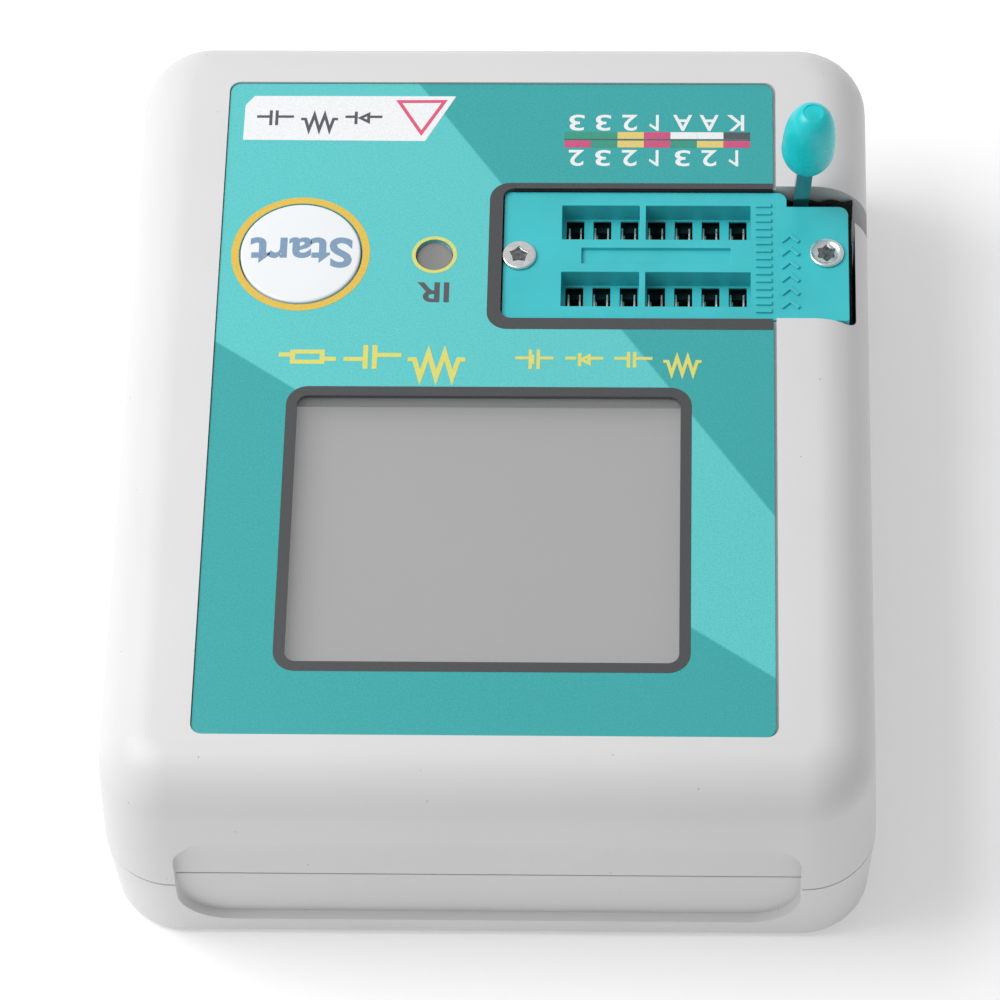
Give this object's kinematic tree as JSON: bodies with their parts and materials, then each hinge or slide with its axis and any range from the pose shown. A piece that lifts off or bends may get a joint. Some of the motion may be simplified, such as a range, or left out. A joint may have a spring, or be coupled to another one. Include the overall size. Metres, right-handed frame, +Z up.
{
  "type": "component tester",
  "caption": "Hand-held component tester: rounded two-part case, printed overlay, display pane, start button and a zero-insertion-force test socket with a folding lever.",
  "frame": {"origin": "middle of the face the case rests on, at the bottom of the whole object", "axes": "+Z up out of the display, +Y along the case towards the test socket, +X towards the side where the lever folds out"},
  "size_m": [0.0698, 0.0852, 0.0386],
  "materials": {
    "case_plastic": "fine moulded texture",
    "printed_film": "printed satin film",
    "clear_pane": "clear polished",
    "display_glass": "smooth",
    "socket_plastic": "moulded",
    "knob_plastic": "moulded",
    "lever_steel": "bright",
    "rivet_silver": "bright plated",
    "button_plastic": "satin",
    "dark_plastic": "moulded",
    "red_insulation": "smooth",
    "plated_steel": "zinc plated",
    "board_laminate": "solder mask",
    "natural_plastic": "moulded",
    "flexible_circuit": "polyimide film",
    "battery_foil": "aluminium laminate",
    "foam_tape": "foam"
  },
  "bodies": {
    "case": {"upper_shell": "case_plastic", "lower_shell": "case_plastic", "overlay_label": "printed_film", "display_window": "clear_pane", "display_panel": "display_glass", "socket_cover": "socket_plastic", "socket_base": "socket_plastic", "socket_rivet_left": "rivet_silver", "socket_rivet_right": "rivet_silver", "contact_1_1": "rivet_silver", "contact_1_2": "rivet_silver", "contact_1_3": "rivet_silver", "contact_1_4": "rivet_silver", "contact_1_5": "rivet_silver", "contact_1_6": "rivet_silver", "contact_1_7": "rivet_silver", "contact_2_1": "rivet_silver", "contact_2_2": "rivet_silver", "contact_2_3": "rivet_silver", "contact_2_4": "rivet_silver", "contact_2_5": "rivet_silver", "contact_2_6": "rivet_silver", "contact_2_7": "rivet_silver", "infrared_window": "dark_plastic", "infrared_receiver": "dark_plastic", "switch_base": "dark_plastic", "microcontroller": "dark_plastic", "charge_chip": "dark_plastic", "usb_tongue": "dark_plastic", "battery_lead_black": "dark_plastic", "battery_lead_red": "red_insulation", "display_frame": "plated_steel", "usb_socket": "plated_steel", "crystal": "plated_steel", "case_screw_1": "plated_steel", "case_screw_2": "plated_steel", "case_screw_3": "plated_steel", "case_screw_4": "plated_steel", "board_screw_1": "plated_steel", "board_screw_2": "plated_steel", "board_screw_3": "plated_steel", "board_screw_4": "plated_steel", "main_board": "board_laminate", "display_bracket": "natural_plastic", "battery_header": "natural_plastic", "battery_plug": "natural_plastic", "display_ribbon": "flexible_circuit", "battery_cell": "battery_foil", "battery_tape": "foam_tape"},
    "lever": {"lever_arm": "lever_steel", "lever_knob": "knob_plastic"},
    "slider": {"socket_slider": "socket_plastic"},
    "button": {"start_button": "button_plastic"},
    "plunger": {"switch_plunger": "dark_plastic"}
  },
  "joints": [
    {"name": "lever_fold", "type": "hinge", "parent": "case", "child": "lever", "pos_m": [0.02793, 0.02276, 0.0206], "axis": [0, 1, 0], "range_deg": [0, 84]},
    {"name": "slider_shift", "type": "slide", "parent": "case", "child": "slider", "axis": [-1, 0, 0], "range_m": [0, 0.0006]},
    {"name": "button_press", "type": "slide", "parent": "case", "child": "button", "axis": [0, 0, -1], "range_m": [0, 0.0004], "stiffness_N_per_m": 400, "springref_m": -0.0001},
    {"name": "plunger_press", "type": "slide", "parent": "case", "child": "plunger", "axis": [0, 0, -1], "range_m": [0, 0.0004]}
  ],
  "couplings": [
    {"joint": "slider_shift", "follows": "lever_fold", "m_per_rad": 0.00040921},
    {"joint": "plunger_press", "follows": "button_press", "ratio": 1}
  ]
}
